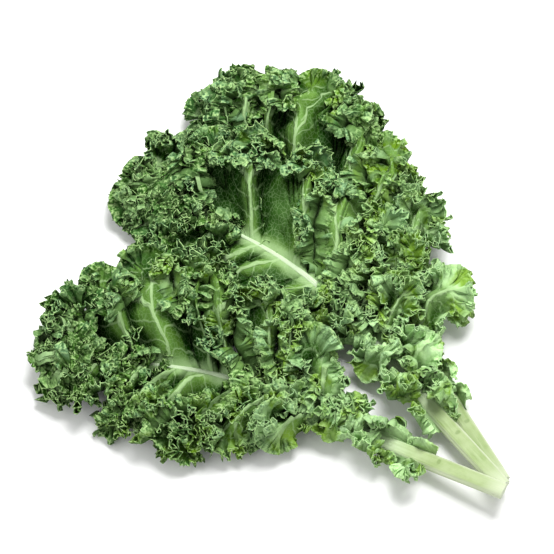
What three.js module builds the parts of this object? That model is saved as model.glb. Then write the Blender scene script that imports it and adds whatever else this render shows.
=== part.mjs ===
// A bunch of three curly kale leaves, laid down and fanned out from their cut ends.
// Millimetres, +Z up. Each leaf is a pale stalk, which runs on as the midrib, and a green
// blade, one thin sheet that passes up one side of the midrib, round its end and down the
// other side. The front leaf lies over the middle one, and that over the back one.
import * as THREE from "three";

// ---- Driving dimensions -------------------------------------------------------------

const GAP = 0.3; // between the blade and the midrib that carries it
const SHEET = 0.9; // thickness of a blade between its veins
const VEIN = 1.3; // what a side vein adds to that, where it leaves the midrib
const ATTACH = 0.2; // height of the blade on the midrib, in shares of the rib's thickness

const PETIOLE = 62; // bare stalk below the lowest lobe
const STRAIGHT = 170; // the midrib is straight this far, and then bends
const STALK_WIDTH = [12.6, 12.8, 12.2, 9.2, 6.4, 4.2, 2.6]; // from the cut to the end
const STALK_THICKNESS = [11, 11.2, 10.8, 8.8, 6.6, 4.6, 2.8];
const STALK_FLAT = 0.82; // height of its upper half, in shares of a round one's

const LOBES = 12.5; // on each side, the one at the tip being shared
const NOTCH_BASE = 0.85; // depth of the cuts between lobes, in shares of the reach
const NOTCH_TIP = 0.25;
const NOTCH_EASE = 3; // the cuts reach their depth at the tip in one of so many shares
const WAVES_PER_LOBE = 2; // ruffles along the edge of a lobe
const WAVE = 8; // height of a ruffle above and below the leaf's face, at its edge
const WAVE_GROWTH = 2.5; // power of the share of the reach that a ruffle grows by
const WAVE_DRIFT = 0.3; // turns that the ruffles lag and lead by
const DRIFT_PACE = 0.37; // swings of that a lobe
const COLLAR = 10; // what the frilled edge stands over the leaf's face
const COLLAR_GROWTH = 4; // power of the share of the reach that it grows by
const SMALLEST = 0.6; // share of the ruffle that the shortest lobes have
const SWELL = 4; // height of a lobe's middle over its two ends
const TIP_FAN = 0.72; // share of a side's columns that leave the rib before its end
const VEIN_ANGLES = [78, 52]; // degrees between the rib and a side vein, base and tip

const COLUMNS_PER_LOBE = 12;
const ROWS = [0, 0.3, 0.56, 0.75, 0.89, 1]; // shares of the reach
const FINE_ROW = 3; // from this row to the edge every column has points, below it every other
const RINGS = 24;
const RING_SIDES = 10;

// A fold gives the height of a side of the blade over the midrib, at its crest and at its
// edge, and the share of the reach where the crest is. Its wave is the share of the full
// ruffle, less on a side that lies under the next leaf. Its reach is how far that side
// extends along its side veins, from the lowest lobe to the tip.
const LEAVES = [
  {
    name: "back",
    colour: { blade: 0x5f8a45, stalk: 0xb9cf8f },
    butt: [0, 2.6],
    heading: 59.5,
    bend: 27,
    length: 342,
    spread: 1.1,
    ribHeight: [5.3, 5.4, 5.2, 4.3, 3.4, 3.2, 4],
    far: {
      crest: 0.66,
      rise: 31,
      edge: 13,
      wave: 1,
      reach: [12, 19, 62, 66, 77, 87, 84, 67, 46, 32, 28],
    },
    near: {
      crest: 0.4,
      rise: -3,
      edge: -9,
      wave: 0.2,
      reach: [12, 12, 24, 50, 80, 76, 54, 44, 38, 34, 30],
    },
    phase: 0.9,
  },
  {
    name: "middle",
    colour: { blade: 0x5b8747, stalk: 0xbdd394 },
    butt: [0, -5.8],
    heading: 50.5,
    bend: 30,
    length: 338,
    spread: 1,
    ribHeight: [15, 14.4, 14.2, 16.5, 18.5, 16.5, 12],
    far: {
      crest: 0.85,
      rise: 25,
      edge: 22,
      wave: 0.9,
      reach: [12, 20, 42, 69, 84, 85, 76, 57, 44, 44, 48],
    },
    near: {
      crest: 0.3,
      rise: 1,
      edge: -17,
      wave: 0.35,
      reach: [12, 10, 22, 48, 84, 78, 54, 46, 46, 46, 48],
    },
    phase: 2.3,
  },
  {
    name: "front",
    colour: { blade: 0x578549, stalk: 0xc0d69a },
    butt: [0, -13.8],
    heading: 27,
    bend: 30,
    length: 333,
    spread: 1,
    ribHeight: [24.2, 16.5, 11, 9.5, 10, 9, 7],
    far: {
      crest: 0.85,
      rise: 29,
      edge: 26,
      wave: 1,
      reach: [7, 8, 28, 66, 84, 85, 74, 52, 40, 37, 42],
    },
    near: {
      crest: 0.5,
      rise: 12,
      edge: -14,
      wave: 1,
      reach: [18, 18, 18, 66, 90, 76, 56, 50, 46, 42, 42],
    },
    phase: 0,
  },
];

// ---- Small helpers ------------------------------------------------------------------

const mix = THREE.MathUtils.lerp;
const wave = (turns) => Math.cos(2 * Math.PI * turns);

/** Smooth value at u, from 0 to 1, of a curve through equally spaced values. */
function through(values, u) {
  const last = values.length - 1;
  const at = THREE.MathUtils.clamp(u, 0, 1) * last;
  const i = Math.min(Math.floor(at), last - 1);
  const [p0, p1, p2, p3] = [-1, 0, 1, 2].map(
    (k) => values[THREE.MathUtils.clamp(i + k, 0, last)],
  );
  const f = at - i;
  const cubic = 3 * (p1 - p2) + p3 - p0;
  const square = 2 * p0 - 5 * p1 + 4 * p2 - p3;
  return p1 + 0.5 * f * (p2 - p0 + f * (square + f * cubic));
}

/** Closed surface over a grid of points, ring after ring; capped at its first and last ring. */
function loft(rings) {
  const sides = rings[0].length;
  const points = rings.flat();
  const faces = [];
  for (let r = 0; r + 1 < rings.length; r++)
    for (let k = 0; k < sides; k++) {
      const a = r * sides + k;
      const b = r * sides + ((k + 1) % sides);
      faces.push(a, b, b + sides, a, b + sides, a + sides);
    }
  const end = (rings.length - 1) * sides;
  for (let k = 1; k + 1 < sides; k++) {
    faces.push(0, k + 1, k);
    faces.push(end, end + k, end + k + 1);
  }
  return meshData(points, faces);
}

/** Closed thin solid between two like grids of points, split into triangles alike. */
function sheet(upper, lower) {
  const last = upper.length - 1;
  const rows = ROWS.length;
  const under = upper.length * rows;
  const at = (j, i) => j * rows + i;
  const faces = [];
  const cell = (p, q, r) => faces.push(p, q, r, under + p, under + r, under + q);
  for (let i = 0; i + 1 < rows; i++) {
    const step = i < FINE_ROW ? 2 : 1;
    for (let j = 0; j < last; j += step) {
      const [a, b, c, d] = [at(j, i), at(j, i + 1), at(j + step, i + 1), at(j + step, i)];
      if (i === FINE_ROW - 1) {
        const between = at(j + 1, i + 1);
        cell(a, b, between);
        cell(a, between, d);
        cell(between, c, d);
      } else if ((i + j / step) % 2) {
        cell(a, b, c);
        cell(a, c, d);
      } else {
        cell(a, b, d);
        cell(b, c, d);
      }
    }
  }
  const rim = [];
  for (let i = 0; i < rows - 1; i++) rim.push(at(0, i));
  for (let j = 0; j < last; j++) rim.push(at(j, rows - 1));
  for (let i = rows - 1; i > 0; i--) rim.push(at(last, i));
  for (let j = last; j > 0; j -= 2) rim.push(at(j, 0));
  rim.forEach((p, k) => {
    const q = rim[(k + 1) % rim.length];
    faces.push(p, under + p, under + q, p, under + q, q);
  });
  return meshData([...upper.flat(), ...lower.flat()], faces);
}

function meshData(points, faces) {
  const geometry = new THREE.BufferGeometry();
  geometry.setFromPoints(points);
  geometry.setIndex(faces);
  geometry.computeVertexNormals();
  return geometry;
}

// ---- The leaf -----------------------------------------------------------------------

/** The midrib's course: its point, its direction and its far side at a distance along it. */
function rib(leaf, distance) {
  const heading = THREE.MathUtils.degToRad(leaf.heading);
  const bent = Math.max(distance - STRAIGHT, 0);
  const turn = THREE.MathUtils.degToRad(leaf.bend) * (bent / (leaf.length - STRAIGHT));
  const now = heading - turn;
  const along = new THREE.Vector3(-Math.cos(now), Math.sin(now), 0);
  const across = new THREE.Vector3(Math.sin(now), Math.cos(now), 0);
  const point = new THREE.Vector3(leaf.butt[0], leaf.butt[1], 0);
  const straight = Math.min(distance, STRAIGHT);
  point.x -= Math.cos(heading) * straight;
  point.y += Math.sin(heading) * straight;
  if (bent > 0) {
    const radius = bent / turn;
    point.x -= radius * (Math.sin(heading) - Math.sin(now));
    point.y -= radius * (Math.cos(heading) - Math.cos(now));
  }
  const u = distance / leaf.length;
  point.z = through(leaf.ribHeight, u);
  return { point, along, across, width: through(STALK_WIDTH, u), deep: through(STALK_THICKNESS, u) };
}

/** The stalk: cut square at its butt, flat along its upper side, thin at its far end. */
function stalk(leaf) {
  const rings = [];
  for (let r = 0; r <= RINGS; r++) {
    const { point, across, width, deep } = rib(leaf, (leaf.length * r) / RINGS);
    const ring = [];
    for (let k = 0; k < RING_SIDES; k++) {
      const turn = (-2 * Math.PI * k) / RING_SIDES;
      const up = Math.sin(turn) * (Math.sin(turn) > 0 ? STALK_FLAT : 1);
      ring.push(
        point
          .clone()
          .addScaledVector(across, (width / 2) * Math.cos(turn))
          .add(new THREE.Vector3(0, 0, (deep / 2) * up)),
      );
    }
    rings.push(ring);
  }
  return loft(rings);
}

/** How far a side vein reaches, with the cuts between the lobes, at v from base to tip. */
function reach(envelope, v) {
  const round = Math.sqrt(Math.abs(Math.sin(Math.PI * LOBES * v)));
  const notch = mix(NOTCH_BASE, NOTCH_TIP, Math.min(NOTCH_EASE * v, 1));
  return through(envelope, v) * (1 - notch * (1 - round));
}

/** Height of one side's fold over the midrib, at share t of its reach. */
function foldHeight(fold, t) {
  if (t < fold.crest) return fold.rise * Math.sin((Math.PI / 2) * (t / fold.crest));
  const down = (t - fold.crest) / (1 - fold.crest);
  return mix(fold.rise, fold.edge, 0.5 - 0.5 * Math.cos(Math.PI * down));
}

/** A point of the blade's middle face: s is 1 at the far side's base, 0 at the tip, -1 near. */
function bladePoint(leaf, s, t) {
  const v = 1 - Math.abs(s);
  const far = s > 0 ? 1 : -1;
  const envelope = far > 0 ? leaf.far.reach : leaf.near.reach;
  const rise = Math.min(v / TIP_FAN, 1);
  const open = 1 - Math.max(v - TIP_FAN, 0) / (1 - TIP_FAN);
  const { point, along, across, width, deep } = rib(leaf, mix(PETIOLE, leaf.length, rise));
  const vein = THREE.MathUtils.degToRad(mix(...VEIN_ANGLES, rise)) * open;
  const seat = (Math.PI / 2) * open;
  const clear = width / 2 + GAP;
  const out = leaf.spread * reach(envelope, v) * t;
  const place = point
    .clone()
    .addScaledVector(across, far * (clear * Math.sin(seat) + out * Math.sin(vein)))
    .addScaledVector(along, clear * Math.cos(seat) + out * Math.cos(vein));

  const share = 0.5 + 0.5 * far * Math.sin(vein);
  const size = Math.sqrt(Math.min(through(envelope, v) / through(envelope, 0.5), 1));
  const fold = mix(foldHeight(leaf.near, t), foldHeight(leaf.far, t), share);
  const lobe = v * LOBES;
  const turns = lobe * WAVES_PER_LOBE + WAVE_DRIFT * wave(DRIFT_PACE * lobe + leaf.phase);
  const ruffle = WAVE * t ** WAVE_GROWTH * wave(turns) + COLLAR * t ** COLLAR_GROWTH;
  const scale = mix(leaf.near.wave, leaf.far.wave, share) * mix(SMALLEST, 1, size);
  place.z += ATTACH * deep + fold * size;
  place.z += scale * (ruffle - SWELL * t * wave(lobe));
  place.z = Math.max(place.z, SHEET / 2);
  return place;
}

/** The blade: a waved sheet from the far side's lowest lobe, round the tip, to the near one. */
function blade(leaf) {
  const half = LOBES * COLUMNS_PER_LOBE;
  const grid = [];
  for (let j = half; j >= -half; j--) grid.push(ROWS.map((t) => bladePoint(leaf, j / half, t)));
  const upper = [];
  const lower = [];
  grid.forEach((column, j) => {
    const ahead = grid[Math.min(j + 1, 2 * half)];
    const behind = grid[Math.max(j - 1, 0)];
    const ofLobe = (Math.abs(half - j) + COLUMNS_PER_LOBE / 2) % COLUMNS_PER_LOBE;
    const ridge = ofLobe === COLUMNS_PER_LOBE / 2 ? VEIN : 0;
    const normals = column.map((_, i) => {
      const out = column[Math.min(i + 1, ROWS.length - 1)].clone();
      out.sub(column[Math.max(i - 1, 0)]);
      return out.cross(ahead[i].clone().sub(behind[i])).normalize();
    });
    upper.push(column.map((p, i) => p.clone().addScaledVector(normals[i], SHEET / 2)));
    lower.push(
      column.map((p, i) => {
        const under = p.clone().addScaledVector(normals[i], -SHEET / 2 - ridge * (1 - ROWS[i]));
        under.z = Math.max(under.z, 0);
        return under;
      }),
    );
  });
  return sheet(upper, lower);
}

// ---- The bunch ----------------------------------------------------------------------

function piece(name, geometry, color, roughness) {
  const material = new THREE.MeshStandardMaterial({ color, roughness, metalness: 0 });
  const mesh = new THREE.Mesh(geometry, material);
  mesh.name = name;
  return mesh;
}

const bunch = new THREE.Group();
for (const leaf of LEAVES) {
  bunch.add(piece(leaf.name + "_leaf_stalk", stalk(leaf), leaf.colour.stalk, 0.5));
  bunch.add(piece(leaf.name + "_leaf_blade", blade(leaf), leaf.colour.blade, 0.6));
}

// The origin is under the middle of the bunch, on the surface that it lies on.
const box = new THREE.Box3().setFromObject(bunch);
const middle = box.getCenter(new THREE.Vector3());
bunch.position.set(-middle.x, -middle.y, -box.min.z);

export default bunch;
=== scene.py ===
"""A bunch of three curly kale leaves, laid down and fanned out from their cut ends.

Lengths are millimetres in the leaves' own terms, and metres once a mesh is placed. A blade
is modelled flat, as a sheet of cells that is finer towards its edge, and each of its points
is then carried to where it lies on the grown leaf: folded along the side veins, waved in
lobes, curled over in a border and ruffled at three sizes along the edge.

A place on a blade is given by s, which is 1 at the far side's lowest lobe, 0 at the tip and
-1 at the near side's lowest lobe, and by how far out from the midrib it is.
"""

import logging
import math
from dataclasses import dataclass, field
from enum import Enum
from functools import partial, reduce

import bpy
import numpy as np
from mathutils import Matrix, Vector


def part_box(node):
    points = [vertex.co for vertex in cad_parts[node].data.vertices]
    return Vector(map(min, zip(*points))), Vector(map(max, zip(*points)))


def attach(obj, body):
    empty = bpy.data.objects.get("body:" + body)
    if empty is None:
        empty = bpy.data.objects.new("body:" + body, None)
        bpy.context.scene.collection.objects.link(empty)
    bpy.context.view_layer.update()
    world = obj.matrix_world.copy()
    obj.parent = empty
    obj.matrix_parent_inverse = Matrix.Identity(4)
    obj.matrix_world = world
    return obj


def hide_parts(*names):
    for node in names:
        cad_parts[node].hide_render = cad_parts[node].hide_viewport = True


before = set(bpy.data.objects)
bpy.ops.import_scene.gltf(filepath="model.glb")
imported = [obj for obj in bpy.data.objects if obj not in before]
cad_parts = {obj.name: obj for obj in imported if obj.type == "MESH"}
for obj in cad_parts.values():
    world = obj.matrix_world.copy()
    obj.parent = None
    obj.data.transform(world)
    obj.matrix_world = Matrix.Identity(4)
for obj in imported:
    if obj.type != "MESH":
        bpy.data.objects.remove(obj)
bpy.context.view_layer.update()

LOG = logging.getLogger("kale_bunch")
MM = 0.001
BODY = "root"
TINY = 1e-9

Number = float | np.ndarray
Profile = tuple[float, ...]
Triple = tuple[float, float, float]
Ramp = tuple[str, float, float, float, float]

# Sizes that the leaves share with their solids.
PETIOLE = 62.0  # bare stalk below the lowest lobe
STRAIGHT = 170.0  # the midrib is straight this far, and then bends
STALK_WIDTH = (12.6, 12.8, 12.2, 9.2, 6.4, 4.2, 2.6)  # from the cut to the end
STALK_THICKNESS = (11.0, 11.2, 10.8, 8.8, 6.6, 4.6, 2.8)
STALK_RINGS = 24  # stretches that a solid stalk is made of
STALK_SIDES = 10  # corners round it
STALK_FLAT = 0.82  # height of its upper half, in shares of a round one's
TIP_FAN = 0.72  # share of a side that leaves the rib before its end
VEIN_ANGLES = (78.0, 52.0)  # degrees between the rib and a side vein, base and tip
LOBES = 10.5  # swings of chance along a side whose pace is 1
ATTACH = 0.2  # height of the blade on the midrib, in shares of the rib's thickness

# Sizes of the finer sheets.
SHEET = 0.5  # thickness
TUCK = 0.8  # how far the blade's root is sunk into the midrib
BORDER_ROWS = (0.2, 0.38, 0.53, 0.66, 0.77, 0.86, 0.93, 1.0)  # shares of the border's width
BOW_FROM = 45.0  # frills above this height bow down
BOW_BY = 14.0  # and rise this much further at most
LOBE_SHARE = 16.0  # lobes that the growth map is wide
OUT_SHARE = 128.0  # millimetres out from the midrib that it is high
GROWTH_MAP = "growth"


def lerp(low: Number, high: Number, share: Number) -> Number:
    """Value between low and high at a share from 0 to 1."""
    return low + (high - low) * share


def wave(turns: np.ndarray) -> np.ndarray:
    """Cosine of a number of full turns."""
    return np.cos(2 * np.pi * turns)


def ease(low: float, high: float, value: np.ndarray) -> np.ndarray:
    """Smooth step from 0 at low to 1 at high; low may be the larger of the two."""
    share = np.clip((value - low) / (high - low), 0.0, 1.0)
    return share * share * (3 - 2 * share)


def unit(vectors: np.ndarray) -> np.ndarray:
    """The same vectors with a length of one."""
    return vectors / (np.linalg.norm(vectors, axis=-1, keepdims=True) + TINY)


def through(values: Profile, share: np.ndarray) -> np.ndarray:
    """Smooth curve through equally spaced values.

    Args:
        values: what the curve passes through, from its start to its end.
        share: places along the curve, from 0 to 1.

    Returns:
        The curve's values at those places.
    """
    table = np.array(values)
    last = len(table) - 1
    at = np.clip(share, 0.0, 1.0) * last
    index = np.minimum(at.astype(int), last - 1)
    before, start, end, after = (table[np.clip(index + k, 0, last)] for k in (-1, 0, 1, 2))
    part = at - index
    cubic = 3 * (start - end) + after - before
    square = 2 * before - 5 * start + 4 * end - after
    return start + 0.5 * part * (end - before + part * (square + part * cubic))


def resampled(vectors: np.ndarray, run: np.ndarray, wanted: np.ndarray) -> np.ndarray:
    """Vectors that are known at some distances, at the distances wanted."""
    return np.stack([np.interp(wanted, run, vectors[:, k]) for k in range(3)], -1)


def soften(values: np.ndarray, spread: float) -> np.ndarray:
    """Rows of vectors, averaged over their neighbours.

    Args:
        values: the vectors, one row each.
        spread: how many rows the average spreads over to either side.

    Returns:
        As many vectors, softened.
    """
    half = int(3 * spread)
    weights = np.exp(-0.5 * (np.arange(-half, half + 1) / spread) ** 2)
    weights /= weights.sum()
    ends = np.pad(values, ((half, half), (0, 0)), mode="edge")
    return np.stack([np.convolve(column, weights, mode="valid") for column in ends.T], -1)


def settle(heights: np.ndarray) -> np.ndarray:
    """Heights kept over the table, with the tallest frills bowed down."""
    over = (heights - BOW_FROM) / BOW_BY
    bowed = np.where(over > 0, BOW_FROM + BOW_BY * np.tanh(over), heights)
    return np.maximum(bowed, SHEET / 2)


class Wander:
    """Smooth noise along a line or over a plane, between about -1 and 1."""

    PACES = (0.45, 1.6)  # swings a unit of its slowest and its fastest waves
    LINE_PACE = 0.7  # slows the waves down along a line, where they all run one way

    def __init__(self, seed: int, waves: int = 7) -> None:
        """Draws the directions, lengths and phases of the waves that it is the sum of.

        Args:
            seed: what its chances are drawn from.
            waves: how many waves it is the sum of.
        """
        draw = np.random.default_rng(seed)
        angle = draw.uniform(0, 2 * np.pi, waves)
        pace = draw.uniform(*self.PACES, waves)
        self.ways = np.stack([np.cos(angle) * pace, np.sin(angle) * pace])
        self.phase = draw.uniform(0, 1, waves)
        self.gain = math.sqrt(2.0 / waves)

    def line(self, turns: np.ndarray) -> np.ndarray:
        """Noise along a line, about one swing a turn."""
        swings = turns[..., None] * np.abs(self.ways).sum(0) * self.LINE_PACE
        return self.gain * wave(swings + self.phase).sum(-1)

    def plane(self, x: np.ndarray, y: np.ndarray) -> np.ndarray:
        """Noise over a plane, about one swing a unit."""
        turns = x[..., None] * self.ways[0] + y[..., None] * self.ways[1] + self.phase
        return self.gain * wave(turns).sum(-1)


@dataclass(frozen=True)
class Uneven:
    """Chance unevenness along an edge.

    Swing is how far it goes either way, and pace how many times it does so a unit. Offset is
    what is added to a leaf's seed for it.
    """

    swing: float
    pace: float
    offset: int

    def along(self, place: np.ndarray, seed: int, share: Number = 1.0) -> np.ndarray:
        """The unevenness at some places of a leaf with a seed, or a share of it."""
        return self.swing * share * Wander(seed + self.offset).line(place * self.pace)


class Side(Enum):
    """The side of the midrib that half a blade grows on."""

    FAR = 1
    NEAR = -1


class Trait(Enum):
    """What changes along a margin, as its fields are named."""

    REACH = "reach"
    NOTCHES = "notches"
    WIDTH = "width"
    CURL = "curl"


class Parts(Enum):
    """What is selected on a mesh."""

    EDGES = "EDGE"
    FACES = "FACE"


@dataclass(frozen=True)
class Fold:
    """How one side of a blade rises over the midrib and comes down to its edge.

    Crest is the share of the reach where it is highest, rise its height there and edge its
    height at the edge. Wave is its share of the full ruffle.
    """

    crest: float
    rise: float
    edge: float
    wave: float

    def height(self, t: np.ndarray) -> np.ndarray:
        """Height over the midrib at shares t of the reach."""
        up = self.rise * np.sin(np.pi / 2 * t / self.crest)
        down = (t - self.crest) / (1 - self.crest)
        return np.where(t < self.crest, up, lerp(self.rise, self.edge, 0.5 - 0.5 * np.cos(np.pi * down)))


@dataclass(frozen=True)
class Margin:
    """How far one side of a blade reaches, from its lowest lobe to the tip.

    Every profile runs that way. Reach is along the side veins, and first where its lobes
    begin, in lobes. Notches are the shares of the reach that are cut in between the lobes,
    pace says where lobes follow each other closely, and count is how many there are. Width is
    that of the frilled border, curl the degrees that it curls through, and tuck the share of
    its width that it takes off the flat's reach.
    """

    STEPS = 401  # steps that the lobes are counted in

    reach: Profile
    first: float
    notches: Profile
    pace: Profile
    count: float
    tuck: float
    width: Profile
    curl: Profile

    def lobes(self, v: np.ndarray) -> np.ndarray:
        """Lobes counted from the lowest one.

        Args:
            v: shares of the way to the tip.

        Returns:
            The count at each of them.
        """
        steps = np.linspace(0.0, 1.0, self.STEPS)
        pace = through(self.pace, steps)
        run = np.concatenate([[0.0], np.cumsum(pace[1:] + pace[:-1])])
        return self.first + np.interp(v, steps, self.count * run / run[-1])


EVEN_PACE = (12.0, 12.0, 12.5, 13.0, 13.0, 13.0, 14.0, 14.0)


@dataclass(frozen=True)
class FarMargin(Margin):
    """The far side's margin, whose widest lobes roll right over."""

    first: float = 0.0
    notches: Profile = (0.85, 0.85, 0.9, 0.9, 0.88, 0.2, 0.12, 0.7, 0.85, 0.85, 0.85)
    pace: Profile = (12.0, 13.0, 15.0, 17.5, 16.0, 11.5, 11.5, 13.0, 14.0, 14.0, 14.0)
    count: float = 13.5
    tuck: float = 0.7
    width: Profile = (17.5, 17.5, 19.0, 21.0, 22.0, 20.5, 19.5, 19.0, 18.0, 17.5, 17.5)
    curl: Profile = (46.0, 46.0, 55.0, 88.0, 138.0, 112.0, 106.0, 125.0, 120.0, 105.0, 90.0)


@dataclass(frozen=True)
class NearMargin(Margin):
    """The near side's margin, which lies flat where the next leaf presses on it."""

    first: float = 0.0
    notches: Profile = (0.85, 0.85, 0.88, 0.88, 0.62, 0.25, 0.4, 0.55, 0.85, 0.85, 0.85)
    pace: Profile = EVEN_PACE
    count: float = 14.5
    tuck: float = 0.9
    width: Profile = (17.5, 17.5)
    curl: Profile = (45.0, 45.0, 40.0, 25.0, 16.0, 16.0, 22.0, 50.0, 75.0, 82.0, 90.0)


@dataclass(frozen=True)
class Frill:
    """One size of ruffle along the edge.

    Length is from one ruffle to the next along the edge, height its swing off the sheet, lean
    its swing along the edge, and depth how far it reaches in from the edge. Shade is its part
    in what counts as a crest, and tip its share of its height round a leaf's tip and base.
    """

    UNEVEN_COUNT = Uneven(0.3, 0.31, 10)
    UNEVEN_HEIGHT = Uneven(0.35, 0.23, 20)
    FADE = 1.2  # the higher, the more a ruffle's height gathers at the edge

    length: float
    height: float
    lean: float
    depth: float
    shade: float
    tip: float = 1.0


FRILLS = (
    Frill(15.0, 4.8, 2.2, 22.0, 0.25),
    Frill(7.2, 2.8, 1.2, 15.0, 0.35),
    Frill(3.6, 1.2, 0.5, 8.5, 0.45, 0.85),
)


@dataclass(frozen=True)
class Leaf:
    """The grown form of one leaf: its midrib's course, its folds and its edge.

    The midrib sets out from the butt at a heading, bends by some degrees past its straight,
    and keeps a slim share of its width past the stalk. Spread is the blade's size next to its
    margins' figures. Swell and dip raise the side veins over the hollows between them, at the
    edge and halfway out, warp carries them sideways, and sway rocks the lobes. A shoulder is
    the share of the reach that is cut in beside a lobe's end, and widest border the share of
    it that the border may take up.
    """

    SLIMS = (0.25, 0.55)  # shares of the midrib's length between which it slims
    TIP_BLEND = 4.0  # how fast one side's tuck turns into the other's past the tip
    ROLL = 1.2  # most that the border takes off the reach, next to how far out it comes
    NOTCH_POWER = 0.4  # the lower, the narrower the notches between the lobes
    SHOULDERS = 3  # shallow notches to each lobe
    LEAST_REACH = 0.08  # share of the reach that is left in the deepest notch
    RIDGE_POWER = 1.1  # the higher, the narrower the hollows between the side veins
    STEADY_TIP = 0.1  # the lobes are spaced evenly this close to the tip
    SMALLEST_WAVES = 0.6  # share of the waves' height that the shortest lobes have
    STEP = 1e-3  # step round the leaf that a lobe's width is measured with
    WARP_SEED = 50  # sets the warp's chances apart from the leaf's others

    name: str
    butt: tuple[float, float]
    heading: float
    bend: float
    length: float
    spread: float
    rib_height: Profile
    far: Fold
    near: Fold
    seed: int
    far_margin: Margin
    near_margin: Margin
    slim: float = 0.8
    swell: float = 4.0
    dip: float = 12.0
    warp: float = 3.0
    warp_length: float = 34.0
    warp_lobes: float = 1.4
    shoulder: float = 0.2
    widest_border: float = 0.42
    sway: Uneven = Uneven(3.0, 1.1, 2)
    uneven_reach: Uneven = Uneven(0.06, 0.8, 3)
    uneven_lobes: Uneven = Uneven(0.16, 0.6, 4)
    uneven_width: Uneven = Uneven(0.25, 1.3, 5)
    frills: tuple[Frill, ...] = FRILLS

    def course(self, distance: np.ndarray) -> dict[str, np.ndarray]:
        """The midrib at some distances from its cut end.

        Args:
            distance: millimetres along the midrib.

        Returns:
            The midrib's points, its direction, the direction to its far side, and its width
            and thickness there.
        """
        bent = np.maximum(distance - STRAIGHT, 0.0)
        heading = math.radians(self.heading)
        now = heading - math.radians(self.bend) * bent / (self.length - STRAIGHT)
        radius = (self.length - STRAIGHT) / math.radians(self.bend)
        straight = np.minimum(distance, STRAIGHT)
        share = distance / self.length
        x = self.butt[0] - math.cos(heading) * straight - radius * (math.sin(heading) - np.sin(now))
        y = self.butt[1] + math.sin(heading) * straight - radius * (math.cos(heading) - np.cos(now))
        flat = np.zeros_like(now)
        slim = lerp(1.0, self.slim, ease(*self.SLIMS, share))
        return {
            "point": np.stack([x, y, through(self.rib_height, share)], -1),
            "along": np.stack([-np.cos(now), np.sin(now), flat], -1),
            "across": np.stack([np.sin(now), np.cos(now), flat], -1),
            "width": slim * through(STALK_WIDTH, share),
            "deep": through(STALK_THICKNESS, share),
        }

    def margin(self, trait: Trait, s: np.ndarray) -> np.ndarray:
        """One of the margins' traits at places round the leaf.

        Args:
            trait: which of them.
            s: 1 at the far side's lowest lobe, 0 at the tip, -1 at the near side's.

        Returns:
            The far margin's values on the far side, and the near margin's elsewhere.
        """
        v = 1 - np.abs(s)
        margins = (self.far_margin, self.near_margin)
        return np.where(s > 0, *(through(getattr(margin, trait.value), v) for margin in margins))

    def width(self, s: np.ndarray) -> np.ndarray:
        """Width of the frilled border, in millimetres."""
        widest = self.widest_border * self.spread * self.envelope(s)
        wide = np.minimum(self.margin(Trait.WIDTH, s), widest)
        return wide * (1 + self.uneven_width.along(s * LOBES, self.seed))

    def envelope(self, s: np.ndarray) -> np.ndarray:
        """How far the lobes reach, without the cuts between them."""
        return self.margin(Trait.REACH, s) * (1 + self.uneven_reach.along(s * LOBES, self.seed))

    def reach(self, s: np.ndarray) -> np.ndarray:
        """How far the flat of the blade reaches along its side veins, cut in between its lobes.

        Args:
            s: 1 at the far side's lowest lobe, 0 at the tip, -1 at the near side's.

        Returns:
            Millimetres from the midrib to the border.
        """
        far_share = 0.5 + 0.5 * np.clip(self.TIP_BLEND * s, -1, 1)
        curl = np.radians(self.margin(Trait.CURL, s))
        rolled = self.ROLL * np.sin(np.minimum(curl, np.pi / 2)) / curl
        tuck = np.minimum(lerp(self.near_margin.tuck, self.far_margin.tuck, far_share), rolled)
        full = self.spread * self.envelope(s) - tuck * self.width(s)
        lobe = np.pi * self.lobe(s)
        cut = self.margin(Trait.NOTCHES, s) * (1 - np.abs(np.sin(lobe)) ** self.NOTCH_POWER)
        cut = cut + self.shoulder * (1 - np.abs(np.sin(self.SHOULDERS * lobe)))
        return full * np.maximum(1 - cut, self.LEAST_REACH)

    def lobe(self, s: np.ndarray) -> np.ndarray:
        """Lobes counted from the lowest one, unevenly spaced, with a side vein at each half.

        Args:
            s: 1 at the far side's lowest lobe, 0 at the tip, -1 at the near side's.

        Returns:
            The count at each place.
        """
        v = 1 - np.abs(s)
        uneven = self.uneven_lobes.along(s * LOBES, self.seed) * ease(0.0, self.STEADY_TIP, 1 - v)
        return np.where(s > 0, self.far_margin.lobes(v), self.near_margin.lobes(v)) + uneven

    def stance(self, s: np.ndarray) -> dict[str, np.ndarray]:
        """How the blade leaves the midrib at places round the leaf.

        Args:
            s: 1 at the far side's lowest lobe, 0 at the tip, -1 at the near side's.

        Returns:
            Where the blade starts beside the midrib, the direction outward along its side
            veins, the direction across them, the rib's thickness, and the share of the far
            side's fold.
        """
        v = 1 - np.abs(s)
        far = np.where(s > 0, 1.0, -1.0)
        rise = np.minimum(v / TIP_FAN, 1.0)
        opening = 1 - np.maximum(v - TIP_FAN, 0.0) / (1 - TIP_FAN)
        rib = self.course(lerp(PETIOLE, self.length, rise))
        vein = np.radians(lerp(*VEIN_ANGLES, rise)) * opening
        seat = np.pi / 2 * opening
        clear = (rib["width"] / 2 - TUCK)[..., None]
        outward, seated = (
            rib["across"] * (far * np.sin(angle))[..., None] + rib["along"] * np.cos(angle)[..., None]
            for angle in (vein, seat)
        )
        return {
            "start": rib["point"] + seated * clear,
            "outward": outward,
            "sideways": np.stack([-outward[..., 1], outward[..., 0], 0 * v], -1),
            "deep": rib["deep"],
            "share": 0.5 + 0.5 * far * np.sin(vein),
        }

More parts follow.
